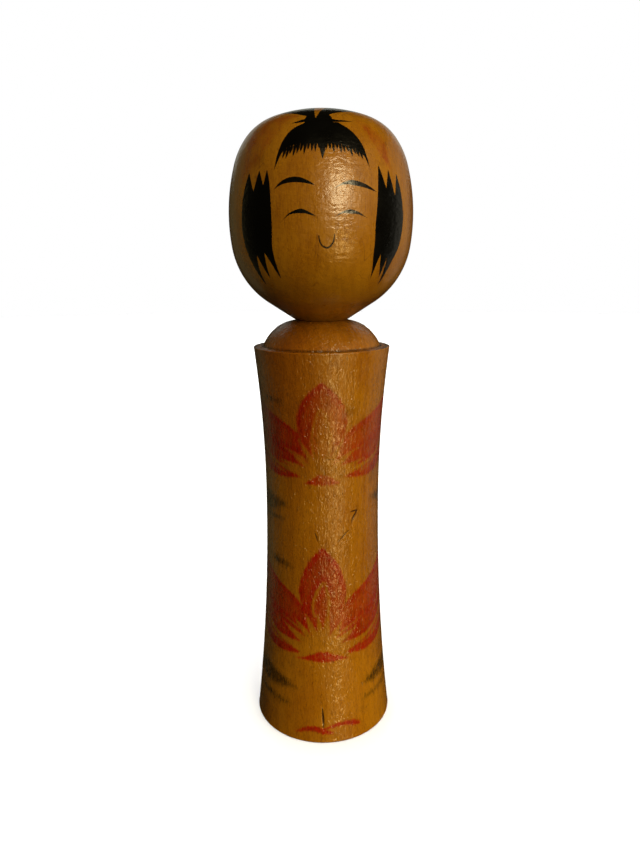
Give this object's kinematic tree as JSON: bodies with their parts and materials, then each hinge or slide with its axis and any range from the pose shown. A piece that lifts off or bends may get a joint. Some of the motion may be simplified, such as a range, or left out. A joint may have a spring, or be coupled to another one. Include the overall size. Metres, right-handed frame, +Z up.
{
  "type": "kokeshi doll",
  "caption": "Turned wooden kokeshi doll: waisted body with a flared rim and domed shoulder, and a head that turns on a captive peg.",
  "frame": {"origin": "centre of the foot's standing ring, on the surface the doll stands on", "axes": "+Z up the turning axis towards the crown, the face looks towards -Y, +X to the face's right as a viewer sees it"},
  "size_m": [0.0676, 0.0676, 0.239],
  "materials": {
    "body_wood": "waxed amber wood with faded red and green dye",
    "head_wood": "waxed amber wood with black ink hair and features"
  },
  "bodies": {
    "body": {"body": "body_wood"},
    "head": {"head": "head_wood"}
  },
  "joints": [
    {"name": "head_turn", "type": "hinge", "parent": "body", "child": "head", "pos_m": [0, 0, 0.1657], "axis": [0, 0, 1], "continuous": true}
  ]
}
